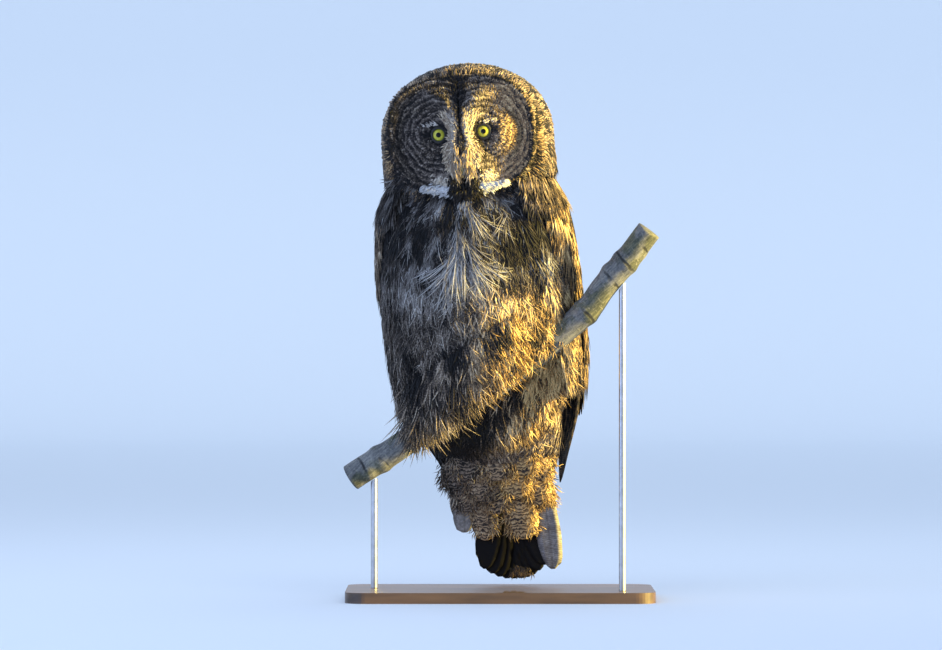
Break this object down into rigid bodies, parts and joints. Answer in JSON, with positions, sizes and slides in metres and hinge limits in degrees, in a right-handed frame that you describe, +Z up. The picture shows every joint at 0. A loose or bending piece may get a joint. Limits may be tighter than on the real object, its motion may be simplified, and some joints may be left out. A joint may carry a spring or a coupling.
{
  "type": "great grey owl model",
  "caption": "Life-size still model of a great grey owl gripping a slanting cut branch, held on a flat display base by two rods.",
  "frame": {"origin": "middle of the stand base's underside, on the surface it rests on", "axes": "+Z up; the owl looks along -Y, turned a little to -X; +X is to the owl's left, where the branch rises"},
  "size_m": [0.4105, 0.2414, 0.6959],
  "materials": {
    "face_feathers": "short soft feathers in fine dark and pale rings round the eyes",
    "body_feathers": "soft loose feathers with dark blotchy streaks on grey",
    "wing_feathers": "barred grey-brown vanes with pale edges",
    "tail_feathers": "dark barred vanes, paler at the edges and tips",
    "leg_feathers": "short dense down, grey with fine bars",
    "eye": "yellow iris with a black pupil under a clear cornea",
    "bill": "smooth horn, yellowish",
    "talon": "smooth black horn",
    "bark": "smooth grey-green bark with dark ring scars and knobs",
    "stand_wood": "dark stained wood, satin",
    "stand_metal": "brushed steel rod"
  },
  "bodies": {
    "root": {"head": "face_feathers", "neck": "body_feathers", "torso": "body_feathers", "wing_left": "wing_feathers", "wing_right": "wing_feathers", "tail": "tail_feathers", "eye_left": "eye", "eye_right": "eye", "bill_upper": "bill", "bill_lower": "bill", "leg_left": "leg_feathers", "leg_right": "leg_feathers", "foot_left": "leg_feathers", "foot_right": "leg_feathers", "talon_left_1": "talon", "talon_left_2": "talon", "talon_left_3": "talon", "talon_left_4": "talon", "talon_right_1": "talon", "talon_right_2": "talon", "talon_right_3": "talon", "talon_right_4": "talon", "perch_branch": "bark", "stand_base": "stand_wood", "stand_rod_left": "stand_metal", "stand_rod_right": "stand_metal"}
  },
  "joints": []
}
